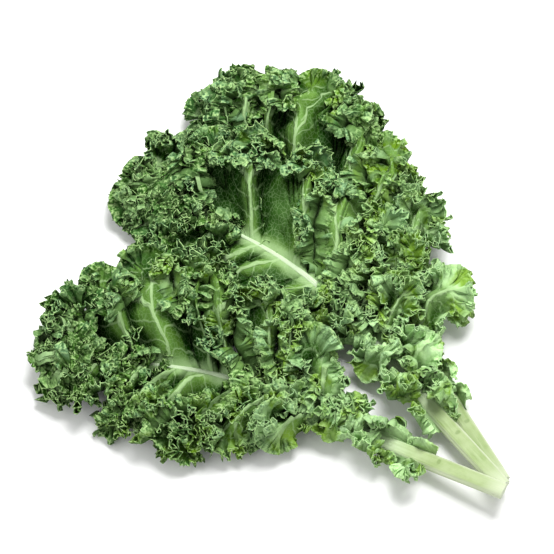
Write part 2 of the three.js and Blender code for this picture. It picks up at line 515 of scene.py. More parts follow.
    def lobe_width(self, s: np.ndarray, out: np.ndarray) -> np.ndarray:
        """Width of a lobe.

        Args:
            s: 1 at the far side's lowest lobe, 0 at the tip, -1 at the near side's.
            out: distances out from the midrib.

        Returns:
            Millimetres from one lobe to the next at each place.
        """
        step = np.where(s > 0, self.STEP, -self.STEP)
        ahead, here = self.stance(s + step), self.stance(s)
        apart = ahead["start"] - here["start"] + (ahead["outward"] - here["outward"]) * out[..., None]
        lobes = np.abs(self.lobe(s + step) - self.lobe(s)) + TINY
        return np.linalg.norm(apart[..., :2], axis=-1) / lobes

    def ridge(self, s: np.ndarray) -> np.ndarray:
        """1 on the side veins, -1 in the hollows between them."""
        return 1 - 2 * np.abs(np.cos(np.pi * self.lobe(s))) ** self.RIDGE_POWER

    def flat(self, s: np.ndarray, t: np.ndarray) -> np.ndarray:
        """The blade inside its frilled border, folded along its side veins.

        Args:
            s: 1 at the far side's lowest lobe, 0 at the tip, -1 at the near side's.
            t: share of the reach, 0 at the midrib and 1 where the border begins.

        Returns:
            Points of the blade's middle face.
        """
        stance = self.stance(s)
        middling = self.margin(Trait.REACH, np.where(s > 0, 0.5, -0.5))
        size = np.sqrt(np.minimum(self.envelope(s) / middling, 1.0))
        waves = lerp(self.near.wave, self.far.wave, stance["share"])
        waves = waves * lerp(self.SMALLEST_WAVES, 1.0, size)
        out = self.reach(s) * t
        place = stance["start"] + stance["outward"] * out[..., None]
        chances = Wander(self.seed + self.WARP_SEED)
        drift = chances.plane(out / self.warp_length, self.lobe(s) / self.warp_lobes)
        place = place + stance["sideways"] * (self.warp * t * drift)[..., None]
        share_out = out / (self.spread * self.envelope(s))
        fold = lerp(self.near.height(share_out), self.far.height(share_out), stance["share"])
        relief = (self.swell * t + self.dip * 4 * t * (1 - t)) * self.ridge(s)
        relief = relief + self.sway.along(s * LOBES, self.seed, t)
        place[..., 2] += ATTACH * stance["deep"] + fold * size + waves * relief
        return place


@dataclass(frozen=True)
class Hem:
    """The line that a frilled border stands on, with a row for each of its even steps.

    The border sets out outward and curls towards the normal, through curl degrees over its
    width. Calm is the share of their height that its ruffles have, tip is 1 where they are
    those of a leaf's tip, and deep is how many times further in than usual they reach.
    """

    line: np.ndarray
    outward: np.ndarray
    normal: np.ndarray
    width: np.ndarray
    curl: np.ndarray
    calm: np.ndarray
    tip: np.ndarray
    deep: np.ndarray


class Border:
    """A frilled border, which stands up and curls over from its hem."""

    STEP = 0.5  # millimetres between the hem's rows
    LEARN_ROWS = 9  # rows of the grid that the ruffles are counted on
    LEAST_TURN = 1e-6  # radians that even a flat border curls through
    LEAN_PHASE = 0.25  # turns that a ruffle's lean is ahead of its rise
    EVEN_SHARE = 0.6  # weight of the hem's own length where columns are spread

    def __init__(self, frills: tuple[Frill, ...], seed: int, hem: Hem) -> None:
        """Lays the ruffles out along the edge, largest first.

        Args:
            frills: the sizes of ruffle that it has.
            seed: what its chances are drawn from.
            hem: the line that it stands on.
        """
        self.frills = frills
        self.seed = seed
        self.hem = hem
        self.run = np.arange(len(hem.line)) * self.STEP
        self.tables: list[np.ndarray] = []
        shares = np.linspace(0.0, 1.0, self.LEARN_ROWS)
        points, _ = self.ruffled(self.run, shares, self.rise(self.run, shares), learn=True)
        self.edge_run = self.lengths(points[:, -1])

    @staticmethod
    def lengths(points: np.ndarray) -> np.ndarray:
        """Distance along a row of points, from its start."""
        return np.concatenate([[0.0], np.cumsum(np.linalg.norm(np.diff(points, axis=0), axis=-1))])

    def at(self, run: np.ndarray, values: np.ndarray) -> np.ndarray:
        """Numbers or vectors of the hem, at distances along it."""
        if values.ndim == 1:
            return np.interp(run, self.run, values)[:, None]
        return resampled(values, self.run, run)[:, None]

    def rise(self, run: np.ndarray, shares: np.ndarray) -> np.ndarray:
        """The border without its ruffles.

        Args:
            run: distances along the hem.
            shares: shares of the width, 0 at the hem and 1 at the edge.

        Returns:
            A grid of points, one column for each distance and one row for each share.
        """
        turn = self.at(run, np.radians(self.hem.curl)) * shares[None] + self.LEAST_TURN
        radius = self.at(run, self.hem.width) * shares[None] / turn
        out = self.at(run, self.hem.outward) * (radius * np.sin(turn))[..., None]
        over = self.at(run, self.hem.normal) * (radius * (1 - np.cos(turn)))[..., None]
        return self.at(run, self.hem.line) + out + over

    def ruffled(self, run: np.ndarray, shares: np.ndarray, points: np.ndarray,
                learn: bool = False) -> tuple[np.ndarray, np.ndarray]:
        """A grid of points with the ruffles added to it.

        Args:
            run: distances along the hem, one for each column.
            shares: shares of the width, one for each row, below 0 short of the hem.
            points: the grid without ruffles.
            learn: counts the ruffles along the edge, instead of reading where they lie.

        Returns:
            The grid of points, and how far each stands on a crest of the ruffles.
        """
        crest = np.zeros(points.shape[:2])
        inset = (1 - shares[None]) * self.at(run, self.hem.width)
        for level, frill in enumerate(self.frills):
            if learn:
                count = self.lengths(points[:, -1]) / frill.length
                self.tables.append(count + frill.UNEVEN_COUNT.along(count, self.seed + level))
            turns = np.interp(run, self.run, self.tables[level])[:, None]
            swing = 1 + frill.UNEVEN_HEIGHT.along(turns, self.seed + level)
            swing = swing * self.at(run, self.hem.calm)
            swing = swing * lerp(1.0, frill.tip, self.at(run, self.hem.tip))
            depth = frill.depth * self.at(run, self.hem.deep)
            grow = ease(1.0, 0.0, inset / depth) ** frill.FADE * swing
            onward = unit(np.gradient(points, axis=0))
            normal = unit(np.cross(onward, np.gradient(points, axis=1)))
            beat = wave(turns) * grow
            lean = wave(2 * turns + self.LEAN_PHASE) * grow
            points = points + normal * (frill.height * beat)[..., None]
            points = points + onward * (frill.lean * lean)[..., None]
            # the finish paints highlight on these crests and shade in the troughs between them
            crest = crest + frill.shade * beat
        return points, crest

    def columns(self, start: float, end: float, count: int) -> np.ndarray:
        """Distances along the hem that spread columns evenly over the ruffled edge."""
        measure = self.edge_run + self.EVEN_SHARE * self.run
        ends = np.interp((start, end), self.run, measure)
        return np.interp(np.linspace(ends[0], ends[1], count), measure, self.run)


class Growth:
    """A whole leaf's blade as it grows: the flat, and the frilled border all round it."""

    PLACES = 24001  # places round the leaf that the line is found at
    LAST = 0.9999  # how far round the leaf they go either way
    INNER = 0.9  # share of the reach of the points that show how the flat comes in
    SOFTEN = 2.6  # millimetres that the line is softened over
    CURL_LENGTH = 46.0  # millimetres to one swing of the curl
    UNEVEN_CURL = Uneven(0.45, 1.0, 6)
    CALMEST = 0.45  # share of the ruffles' height on a side that has no waves
    SIDE_BLEND = 5.0  # how fast one side's waves turn into the other's past the tip
    FULL_WIDTH = 12.25  # width of the narrowest border with ruffles of full height
    TIP_END = (0.34, 0.12)  # where the tip's kind of ruffles begins, and where it is full
    BASE_END = (0.6, 0.8)  # the same at the leaf's base
    DEEP_TIP = (0.4, 0.32, 0.75)  # where ruffles begin to reach in, are full, and by how much
    DEEP_BASE = (0.56, 0.62, 0.15)
    FIX_POWER = 4  # the higher, the later on its way out the flat bends to the softened line

    def __init__(self, leaf: Leaf) -> None:
        """Finds the line where the border begins, and sets the border on it.

        Args:
            leaf: the leaf's form.
        """
        self.leaf = leaf
        s = np.linspace(-self.LAST, self.LAST, self.PLACES)
        line = leaf.flat(s, np.ones_like(s))
        inner = leaf.flat(s, np.full_like(s, self.INNER))
        run = Border.lengths(line)
        even = np.arange(0.0, run[-1], Border.STEP)
        self.s = np.interp(even, run, s)
        line, inner = (resampled(points, run, even) for points in (line, inner))
        self.border = Border(leaf.frills, leaf.seed, self.hem(line, inner, even))
        self.run = self.border.run
        LOG.info("%s: line %.0f mm, edge %.0f mm", leaf.name, self.run[-1], self.border.edge_run[-1])

    def hem(self, line: np.ndarray, inner: np.ndarray, even: np.ndarray) -> Hem:
        """The line that the border stands on.

        Args:
            line: points where the flat ends.
            inner: points of the flat a little further in.
            even: distances along the line.

        Returns:
            The softened line, with the border's width, curl and ruffles along it.
        """
        leaf = self.leaf
        curl = leaf.margin(Trait.CURL, self.s)
        rows = self.SOFTEN / Border.STEP
        soft = soften(line, rows)
        onward = unit(np.gradient(soft, axis=0))
        normal = unit(soften(unit(np.cross(np.gradient(line, axis=0), line - inner)), 2 * rows))
        outward = unit(np.cross(normal, onward))
        away = np.abs(self.s)
        far_share = 0.5 + 0.5 * np.clip(self.s * self.SIDE_BLEND, -1, 1)
        calm = lerp(self.CALMEST, 1.0, lerp(leaf.near.wave, leaf.far.wave, far_share))
        deep = 1.0
        for low, high, more in (self.DEEP_TIP, self.DEEP_BASE):
            deep = deep + more * ease(low, high, away)
        return Hem(
            line=soft,
            outward=outward,
            normal=unit(np.cross(onward, outward)),
            width=leaf.width(self.s),
            curl=curl * (1 + self.UNEVEN_CURL.along(even / self.CURL_LENGTH, leaf.seed)),
            calm=calm * np.minimum(leaf.width(self.s) / self.FULL_WIDTH, 1.0),
            tip=ease(*self.TIP_END, away) + ease(*self.BASE_END, away),
            deep=deep,
        )

    def place(self, run: np.ndarray, rows: np.ndarray) -> tuple[np.ndarray, np.ndarray]:
        """The blade with all its ruffles.

        Args:
            run: distances along the line where the border begins.
            rows: 0 at the midrib, 1 where the border begins and 2 at the edge.

        Returns:
            A grid of points, and how far each stands on a crest of the ruffles.
        """
        s = np.interp(run, self.run, self.s)[:, None]
        t = np.minimum(rows, 1.0)[None]
        flat = self.leaf.flat(*np.broadcast_arrays(s, t))
        fix = self.border.at(run, self.border.hem.line) - self.leaf.flat(s, np.ones_like(s))
        flat = flat + fix * (t ** self.FIX_POWER)[..., None]
        inside = (rows <= 1.0)[None, :, None]
        points = np.where(inside, flat, self.border.rise(run, np.maximum(rows - 1.0, 0.0)))
        return self.border.ruffled(run, rows - 1.0, points)


@dataclass
class Placement:
    """Where the leaves' own millimetres lie in the bunch's metres."""

    shift: Vector = field(default_factory=Vector)

    def settle(self, leaf: Leaf, node: str) -> None:
        """Finds the shift from one stalk's lowest corner.

        Args:
            leaf: the leaf whose stalk it is.
            node: the stalk's solid.
        """
        rings = leaf.course(leaf.length * np.arange(STALK_RINGS + 1) / STALK_RINGS)
        turn = -2 * np.pi * np.arange(STALK_SIDES) / STALK_SIDES
        side = rings["across"][:, None] * (rings["width"][:, None] / 2 * np.cos(turn))[..., None]
        points = rings["point"][:, None] + side
        lowest = points.reshape(-1, 3).min(0) * MM
        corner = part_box(node)[0]
        self.shift = Vector((corner.x - lowest[0], corner.y - lowest[1], 0.0))

    def metres(self, points: np.ndarray) -> np.ndarray:
        """Places points of a leaf, in millimetres, in the bunch, in metres."""
        return points * MM + np.array(self.shift)


@dataclass(frozen=True)
class Layer:
    """A tone laid over what is under it.

    How much of it shows is the product of its ramps, each a measure of the piece, where the
    ramp begins and ends and its value at both, of its mask, a measure that is a share by
    itself, and of its share, which is the same all over.
    """

    tone: Triple
    ramps: tuple[Ramp, ...]
    mask: str = ""
    share: float = 1.0


class Nodes:
    """Short ways to add nodes to a material and join them."""

    MIXED_IN = (6, 7)  # a mix node's inputs for two colours
    MIXED_OUT = 2  # and its output for the mixed one

    def __init__(self, name: str) -> None:
        """Starts a material with only its shader and its output."""
        self.material = bpy.data.materials.new(name)
        self.material.use_nodes = True
        self.tree = self.material.node_tree
        self.shader = self.tree.nodes["Principled BSDF"]

    def add(self, kind: str, **settings: object) -> bpy.types.Node:
        """Adds a node and sets its properties by name."""
        node = self.tree.nodes.new(kind)
        for key, value in settings.items():
            setattr(node, key, value)
        return node

    def join(self, source: object, target: object) -> None:
        """Feeds one socket from another, or sets it to a plain value."""
        if isinstance(source, bpy.types.NodeSocket):
            self.tree.links.new(source, target)
        else:
            target.default_value = source

    def math(self, operation: str, first: object, second: object = 0.0) -> object:
        """A function of one or two values.

        Args:
            operation: its name on the node.
            first: a socket or a number.
            second: another, where the function takes two.

        Returns:
            The socket of what it gives.
        """
        node = self.add("ShaderNodeMath", operation=operation)
        self.join(first, node.inputs[0])
        self.join(second, node.inputs[1])
        return node.outputs[0]

    def product(self, *values: object) -> object:
        """Product of some values, each a socket or a number."""
        return reduce(partial(self.math, "MULTIPLY"), values)

    def total(self, *values: object) -> object:
        """Sum of some values, each a socket or a number."""
        return reduce(partial(self.math, "ADD"), values)

    def less(self, first: object, second: object) -> object:
        """The first value less the second."""
        return self.math("SUBTRACT", first, second)

    def size(self, value: object) -> object:
        """A value without its sign."""
        return self.math("ABSOLUTE", value)

    def part(self, value: object) -> object:
        """A value's part past its whole number, from -0.5 to 0.5."""
        return self.less(self.math("FRACT", value), 0.5)

    def ramp(self, value: object, low: float, high: float, start: float = 0.0,
             end: float = 1.0) -> object:
        """Smooth change that follows a value.

        Args:
            value: the socket that it follows.
            low: where the change begins.
            high: where it ends, above or below low.
            start: what it gives as far as low.
            end: what it gives from high on.

        Returns:
            The socket of the changed value.
        """
        node = self.add("ShaderNodeMapRange", interpolation_type="SMOOTHSTEP")
        for index, number in enumerate((value, low, high, start, end)):
            self.join(number, node.inputs[index])
        return node.outputs[0]

    def blend(self, share: object, first: object, second: object) -> object:
        """Mix of two colours.

        Args:
            share: share of the second one.
            first: a socket or three numbers.
            second: the same.

        Returns:
            The socket of the mixed colour.
        """
        node = self.add("ShaderNodeMix", data_type="RGBA")
        self.join(share, node.inputs[0])
        for index, colour in zip(self.MIXED_IN, (first, second)):
            value = (*colour, 1.0) if isinstance(colour, tuple) else colour
            self.join(value, node.inputs[index])
        return node.outputs[self.MIXED_OUT]

    def place(self) -> object:
        """Where a point of the piece lies, in metres."""
        return self.add("ShaderNodeTexCoord").outputs["Object"]

    def noise(self, scale: float, detail: float = 2.0, place: object = None) -> object:
        """Cloudy noise.

        Args:
            scale: swings a metre, or a unit of another place.
            detail: how many finer sizes it has on top.
            place: where it is read, if not at a point's own place.

        Returns:
            The socket of the noise, from 0 to 1.
        """
        node = self.add("ShaderNodeTexNoise")
        self.join(self.place() if place is None else place, node.inputs["Vector"])
        node.inputs["Scale"].default_value = scale
        node.inputs["Detail"].default_value = detail
        return node.outputs["Fac"]

    def attribute(self, name: str) -> object:
        """A number that the mesh carries at each of its points."""
        return self.add("ShaderNodeAttribute", attribute_name=name).outputs["Fac"]

    def paint(self, body: Triple, layers: tuple[Layer, ...], measures: dict[str, object]) -> None:
        """Colours the shader.

        Args:
            body: the colour under all the layers.
            layers: the tones over it, from the lowest to the topmost.
            measures: the sockets that the layers' ramps and masks name.
        """
        colour = body
        for layer in layers:
            factors = [self.ramp(measures[name], *span) for name, *span in layer.ramps]
            if layer.mask:
                factors.append(measures[layer.mask])
            if layer.share < 1:
                factors.append(layer.share)
            colour = self.blend(self.product(*factors), colour, layer.tone)
        self.join(colour, self.shader.inputs["Base Color"])

    def emboss(self, height: object, strength: float, depth: float) -> None:
        """Gives the shader a fine relief.

        Args:
            height: the socket that says how high each place is.
            strength: share of the relief that shows.
            depth: millimetres that a height of 1 stands for.
        """
        bump = self.add("ShaderNodeBump")
        bump.inputs["Strength"].default_value = strength
        bump.inputs["Distance"].default_value = depth * MM
        self.join(height, bump.inputs["Height"])
        self.join(bump.outputs["Normal"], self.shader.inputs["Normal"])


@dataclass(frozen=True)
class Veins:
    """Side veins with their forks and branches, on the growth map of a blade.

    Lengths are millimetres. A side vein sways, tapers, and forks where it is a way out from
    the midrib. Branches leave it on both sides at a slant, one after another.
    """

    SWAY_SCALE = 55.0

    sway: float = 5.0
    fork_from: float = 36.0
    fork_slope: float = 0.3
    taper: tuple[float, ...] = (0.0, 85.0, 1.1, 0.4)
    margin: float = 0.9
    branch_gap: float = 15.0
    branch_slant: float = 1.25
    branch_sway: float = 0.6
    branch_width: float = 0.22
    branch_margin: float = 0.5
    branch_cut: float = 0.62
    branch_fade: tuple[float, ...] = (3.0, 16.0, 1.0, 0.25)

    @staticmethod
    def line(nodes: Nodes, distance: object, width: object, margin: float) -> object:
        """Mask of a vein, 1 within its half width and 0 at a soft margin beyond it."""
        return nodes.ramp(nodes.less(distance, width), 0.0, margin, 1.0, 0.0)

    def measures(self, nodes: Nodes) -> dict[str, object]:
        """The masks of the veins.

        Args:
            nodes: the material that they are for.

        Returns:
            Masks of the side veins and of their branches, and the distance from a side vein.
        """
        split = nodes.add("ShaderNodeSeparateXYZ")
        nodes.join(nodes.add("ShaderNodeUVMap", uv_map=GROWTH_MAP).outputs["UV"], split.inputs[0])
        lobe = nodes.product(split.outputs["X"], LOBE_SHARE)
        out = nodes.product(split.outputs["Y"], OUT_SHARE)
        sway = nodes.noise(self.SWAY_SCALE)
        aside = nodes.product(nodes.part(lobe), nodes.attribute("lobe_width"))
        aside = nodes.total(aside, nodes.product(nodes.less(sway, 0.5), self.sway))
        away = nodes.size(aside)
        parted = nodes.product(nodes.less(out, self.fork_from), self.fork_slope)
        parted = nodes.math("MAXIMUM", parted, 0.0)
        fork = nodes.size(nodes.less(away, parted))
        main = self.line(nodes, fork, nodes.ramp(out, *self.taper), self.margin)
        other_side = nodes.product(nodes.math("GREATER_THAN", aside, 0.0), 0.5)
        rise = nodes.less(out, nodes.product(away, self.branch_slant))
        step = nodes.math("DIVIDE", rise, self.branch_gap)
        step = nodes.total(step, other_side, nodes.product(sway, self.branch_sway))
        gap = nodes.product(nodes.size(nodes.part(step)), self.branch_gap * self.branch_cut)
        branch = self.line(nodes, gap, self.branch_width, self.branch_margin)
        branch = nodes.product(branch, nodes.ramp(away, *self.branch_fade))
        return {"vein": main, "branch": branch, "away": away}


@dataclass(frozen=True)
class LeafFinish:
    """Waxy green blade with pale veins; painted highlight on its edges, painted shade in its hollows.

    Its measures are millimetres in from the edge (inset), out from the midrib (out), from the
    nearest side vein (away) and down from the leaves round it (below); how ripe the leaf is,
    from 0 at its base to 1 at its tip; how far a place is on a crest of the ruffles or on the
    ridge of a side vein, from 1 down to -1; and some clouds of noise.
    """

    FRILLED = ("inset", 20.0, 9.0, 0.1, 1.0)
    # share of the painted shade: 0.3 of it at the leaf's base, all of it from halfway to the tip
    SHADE_TOWARD_TIP = ("ripe", 0.15, 0.5, 0.3, 1.0)
    FLAT = ("inset", 4.0, 16.0, 0.0, 1.0)
    CRIMPED = (("inset", 10.0, 3.0, 0.0, 1.0), ("ripe", 0.1, 0.45, 0.35, 1.0))

    name: str
    body: Triple = (0.13, 0.285, 0.030)
    tip: Triple = (0.065, 0.165, 0.035)
    lamina: Triple = (0.11, 0.225, 0.04)
    # painted shade: dark green for the hollows between the side veins
    valley_shade: Triple = (0.03, 0.09, 0.006)
    young: Triple = (0.56, 0.84, 0.40)
    cool: Triple = (0.11, 0.275, 0.095)
    # chance yellow-green patches near the base: partly own tone, partly painted light shining through
    warm: Triple = (0.20, 0.37, 0.0)
    # painted shade: near-black green laid where shade falls among the frills and folds
    painted_shade: Triple = (0.006, 0.042, 0.0)
    # painted highlight: pale green where light catches crests, crimps and the edge
    edge: Triple = (0.42, 0.61, 0.25)
    vein: Triple = (0.36, 0.53, 0.25)
    # painted highlight: pale bluish green on frills that stand above the leaves round them
    raised_highlight: Triple = (0.28, 0.48, 0.27)
    under: Triple = (0.17, 0.29, 0.10)
    under_share: float = 0.4
    clouds: tuple[tuple[str, float, float], ...] = (
        ("broad", 19.0, 3.0), ("patch", 44.0, 3.0), ("fine", 260.0, 3.0), ("crimp", 430.0, 1.0),
    )
    net_scale: float = 290.0
    net_lines: tuple[float, ...] = (0.0, 0.09, 1.0, 0.0)
    relief: tuple[tuple[str, float], ...] = (
        ("vein", 0.7), ("branch", 0.3), ("net", 0.14), ("fine", 0.25),
    )
    crimp_relief: float = 3.0
    relief_share: float = 0.7
    relief_depth: float = 0.8
    roughness: tuple[float, ...] = (0.2, 0.8, 0.47, 0.69)
    gloss: float = 0.08
    veins: Veins = Veins()

    def layers(self) -> tuple[Layer, ...]:
        """The tones over the body's own, from the lowest to the topmost."""
        return (
            Layer(self.cool, (("broad", 0.35, 0.65, 0.0, 1.0), self.FRILLED)),
            Layer(self.young, (("ripe", 0.5, 0.1, 0.0, 1.0),)),
            # partly painted light shining through the thin leaf near its base
            Layer(self.warm, (("patch", 0.48, 0.58, 0.0, 0.85), ("ripe", 0.75, 0.5, 0.0, 1.0))),
            Layer(self.tip, (("ripe", 0.35, 0.8, 0.0, 0.65),)),
            Layer(self.lamina, (("inset", 12.0, 22.0, 0.0, 0.8),)),
            # painted shade away from the side veins, on the flat of the blade
            Layer(self.valley_shade, (("away", 2.0, 9.5, 0.0, 1.0), ("out", 3.0, 14.0, 0.0, 1.0),
                                ("inset", 8.0, 18.0, 0.0, 0.92))),
            # painted shade in the troughs of the ruffles
            Layer(self.painted_shade, (("crest", -0.1, -1.0, 0.0, 0.8), self.SHADE_TOWARD_TIP)),
            # painted highlight on the crests of the ruffles
            Layer(self.edge, (("crest", 0.2, 1.1, 0.0, 0.35),)),
            # painted shade deeper inside the frilled border, where the ruffles shadow each other
            Layer(self.painted_shade, (("inset", 3.0, 7.0, 0.0, 1.0), ("inset", 22.0, 13.0, 0.0, 0.45),
                                self.SHADE_TOWARD_TIP)),
            # painted shade where a place lies deep under the leaves round it
            Layer(self.painted_shade, (("below", 0.5, 8.0, 0.0, 0.88), self.SHADE_TOWARD_TIP)),
            # painted highlight where a frill stands above the leaves round it
            Layer(self.raised_highlight, (("below", -1.0, -6.0, 0.0, 0.45), self.FRILLED)),
            # painted shade in the hollows between the side veins, on the flat
            Layer(self.painted_shade, (("ridge", 0.5, -1.0, 0.0, 0.85), ("inset", 12.0, 24.0, 0.0, 1.0))),
            # painted shade in the fine crimps, which are not modelled
            Layer(self.painted_shade, (*self.CRIMPED, ("crimp", 0.5, 0.36, 0.0, 0.75))),
            # painted highlight on the tops of those crimps
            Layer(self.edge, (*self.CRIMPED, ("crimp", 0.5, 0.64, 0.0, 0.7))),
            # painted highlight along the very edge, broken by the crimps
            Layer(self.edge, (("inset", 1.5, 0.2, 0.0, 1.0), ("crimp", 0.4, 0.6, 0.0, 0.6))),
            Layer(self.vein, (self.FLAT,), "net", 0.22),
            Layer(self.vein, (self.FLAT,), "branch", 0.5),
            Layer(self.vein, (("inset", 2.0, 24.0, 0.2, 0.75),), "vein"),
            Layer(self.vein, (("out", 1.0, 10.0, 0.7, 0.0),)),
        )

    def measures(self, nodes: Nodes) -> dict[str, object]:
        """The sockets that the layers and the relief go by.

        Args:
            nodes: the material that they are for.

        Returns:
            The sockets by their names.
        """
        found = self.veins.measures(nodes)
        for name in ("inset", "crest", "ripe", "out", "below", "ridge"):
            found[name] = nodes.attribute(name)
        for name, scale, detail in self.clouds:
            found[name] = nodes.noise(scale, detail)
        net = nodes.add("ShaderNodeTexVoronoi", feature="DISTANCE_TO_EDGE")
        nodes.join(nodes.place(), net.inputs["Vector"])
        net.inputs["Scale"].default_value = self.net_scale
        found["net"] = nodes.ramp(net.outputs["Distance"], *self.net_lines)
        return found

    def build(self, under: bool = False) -> bpy.types.Material:
        """Makes the material.

        Args:
            under: for the paler and duller lower face.

        Returns:
            The material.
        """
        nodes = Nodes(self.name + ("_under" if under else ""))
        measures = self.measures(nodes)
        top = (Layer(self.under, (), share=self.under_share),) if under else ()
        nodes.paint(self.body, self.layers() + top, measures)
        crimped = [nodes.ramp(measures[name], *span) for name, *span in self.CRIMPED]
        height = nodes.total(
            *(nodes.product(measures[name], share) for name, share in self.relief),
            nodes.product(measures["crimp"], *crimped, self.crimp_relief),
        )
        nodes.emboss(height, self.relief_share, self.relief_depth)
        nodes.join(nodes.ramp(measures["fine"], *self.roughness), nodes.shader.inputs["Roughness"])
        nodes.shader.inputs["Specular IOR Level"].default_value = self.gloss
        return nodes.material


@dataclass(frozen=True)
class StalkFinish:
    """Pale ribbed stalk, whiter along its flanks and at the cut, with one dark spot.

    Its measures are millimetres from the cut (along), how far a place is on a flank, a cloud
    and stripes of noise, and how far it is from the spot. Each stripe's rise says between
    which values of its noise it comes up.
    """

    name: str
    body: Triple = (0.20, 0.30, 0.07)
    pale: Triple = (0.34, 0.43, 0.20)
    white: Triple = (0.56, 0.62, 0.44)
    rib: Triple = (0.58, 0.72, 0.48)
    spot: Triple = (0.16, 0.24, 0.06)
    cloud_scale: float = 60.0
    cloud_detail: float = 3.0
    stripe_length: float = 50.0
    stripes_a_turn: float = 9.0
    stripe_rise: tuple[float, float] = (0.42, 0.62)
    spot_turn: float = 1.35
    spot_radius: float = 4.0
    spot_along: float = 54.0
    spot_scale: float = 600.0
    spot_uneven: float = 3.0
    grain_scale: float = 700.0
    grain: float = 0.4
    relief_share: float = 0.35
    relief_depth: float = 0.4
    roughness: tuple[float, ...] = (0.2, 0.8, 0.36, 0.55)
    gloss: float = 0.45

    def layers(self) -> tuple[Layer, ...]:
        """The tones over the body's own, from the lowest to the topmost."""
        return (
            Layer(self.pale, (("cloud", 0.35, 0.7, 0.0, 1.0),)),
            Layer(self.white, (("along", 22.0, 2.0, 0.0, 0.8),)),
            Layer(self.white, (("flank", 0.55, 0.95, 0.0, 0.8),)),
            Layer(self.rib, (("along", 62.0, 120.0, 0.0, 1.0),)),
            Layer(self.pale, (), "stripe", 0.35),
            Layer(self.spot, (("from_spot", 5.0, 2.0, 0.0, 0.75),)),
        )

    def measures(self, nodes: Nodes) -> dict[str, object]:
        """The sockets that the layers and the relief go by.

        Args:
            nodes: the material that they are for.

        Returns:
            The sockets by their names.
        """
        along = nodes.attribute("along")
        turn = nodes.attribute("round")
        lay = nodes.add("ShaderNodeCombineXYZ")
        nodes.join(nodes.math("DIVIDE", along, self.stripe_length), lay.inputs[0])
        nodes.join(nodes.product(turn, self.stripes_a_turn), lay.inputs[1])
        stripe = nodes.noise(1.0, place=lay.outputs[0])
        across = nodes.product(nodes.less(turn, self.spot_turn), self.spot_radius)
        from_spot = nodes.total(
            nodes.math("POWER", across, 2.0),
            nodes.math("POWER", nodes.less(along, self.spot_along), 2.0),
            nodes.product(nodes.noise(self.spot_scale), self.spot_uneven),
        )
        return {
            "along": along,
            "flank": nodes.size(nodes.math("COSINE", turn)),
            "cloud": nodes.noise(self.cloud_scale, self.cloud_detail),
            "stripe": nodes.ramp(stripe, *self.stripe_rise),
            "from_spot": from_spot,
        }

    def build(self) -> bpy.types.Material:
        """Makes the material."""
        nodes = Nodes(self.name)
        measures = self.measures(nodes)
        nodes.paint(self.body, self.layers(), measures)
        grain = nodes.product(nodes.noise(self.grain_scale), self.grain)
        nodes.emboss(nodes.total(measures["stripe"], grain), self.relief_share, self.relief_depth)
        nodes.join(nodes.ramp(measures["cloud"], *self.roughness), nodes.shader.inputs["Roughness"])
        nodes.shader.inputs["Specular IOR Level"].default_value = self.gloss
        return nodes.material


def new_primitive(name: str) -> bpy.types.Object:
    """The primitive that was added last, under its new name."""
    made = bpy.context.object
    made.name = name
    made.data.name = name
    return made


def deselect_all() -> None:
    """Leaves nothing selected, so that the next operator acts on its own piece alone."""
    bpy.ops.object.select_all(action="DESELECT")


def pick(made: bpy.types.Object, parts: Parts, wanted: np.ndarray) -> None:
    """Goes into edit mode with some of a piece's edges or faces selected.

    Args:
        made: the piece, which is the active one.
        parts: whether edges or faces are selected.
        wanted: whether each of them is.
    """
    bpy.ops.object.mode_set(mode="EDIT")
    bpy.ops.mesh.select_mode(type=parts.value)
    bpy.ops.mesh.select_all(action="DESELECT")
    bpy.ops.object.mode_set(mode="OBJECT")
    layer = made.data.edges if parts is Parts.EDGES else made.data.polygons
    layer.foreach_set("select", wanted)
    bpy.ops.object.mode_set(mode="EDIT")


def set_attribute(mesh: bpy.types.Mesh, name: str, values: np.ndarray) -> None:
    """Gives every point of a mesh a number under a name."""
    layer = mesh.attributes.new(name, "FLOAT", "POINT")
    layer.data.foreach_set("value", np.ascontiguousarray(values, np.float32))


def vertex_places(mesh: bpy.types.Mesh) -> np.ndarray:
    """A mesh's points, one row each."""
    places = np.empty(len(mesh.vertices) * 3, np.float32)
    mesh.vertices.foreach_get("co", places)
    return places.reshape(-1, 3).astype(float)


def edge_ends(mesh: bpy.types.Mesh) -> np.ndarray:
    """The first and the last points of a mesh's edges."""
    ends = np.empty(len(mesh.edges) * 2, np.int32)
    mesh.edges.foreach_get("vertices", ends)
    return vertex_places(mesh)[ends.reshape(-1, 2)].swapaxes(0, 1)


def move_vertices(mesh: bpy.types.Mesh, places: np.ndarray) -> None:
    """Moves a mesh's points to new places."""
    mesh.vertices.foreach_set("co", np.ascontiguousarray(places, np.float32).ravel())
    mesh.update()


class Canopy:
    """How high the leaves stand over the table, place by place, for the painted shade under them."""

    CELL = 1.5 * MM  # side of a cell of the map
    LEAST_SHARE = 1e-6  # keeps a height over bare table from being divided by nothing

    def __init__(self, pieces: list[bpy.types.Object], spread: float) -> None:
        """Maps the highest points of some pieces, and evens them out.

        Args:
            pieces: the pieces that are seen from above.
            spread: how far the heights are evened out, in metres.
        """
        points = np.concatenate([vertex_places(piece.data) for piece in pieces])
        self.corner = points[:, :2].min(0)
        cells = self.cells(points)
        top = np.zeros(cells.max(0) + 1)
        np.maximum.at(top, tuple(cells.T), points[:, 2])
        taken = (top > 0).astype(float)
        rows = spread / self.CELL
        even, share = (soften(soften(grid, rows).T, rows).T for grid in (top, taken))
        self.height = even / np.maximum(share, self.LEAST_SHARE)

    def cells(self, points: np.ndarray) -> np.ndarray:
        """The cells of the map that points lie in."""
        return ((points[:, :2] - self.corner) / self.CELL).astype(int)

    def shade(self, piece: bpy.types.Object) -> None:
        """Notes how far below the leaves round it each point lies, in millimetres, for painted shade.

        Args:
            piece: the piece whose points they are.
        """
        points = vertex_places(piece.data)
        below = self.height[tuple(self.cells(points).T)] - points[:, 2]
        set_attribute(piece.data, "below", below / MM)


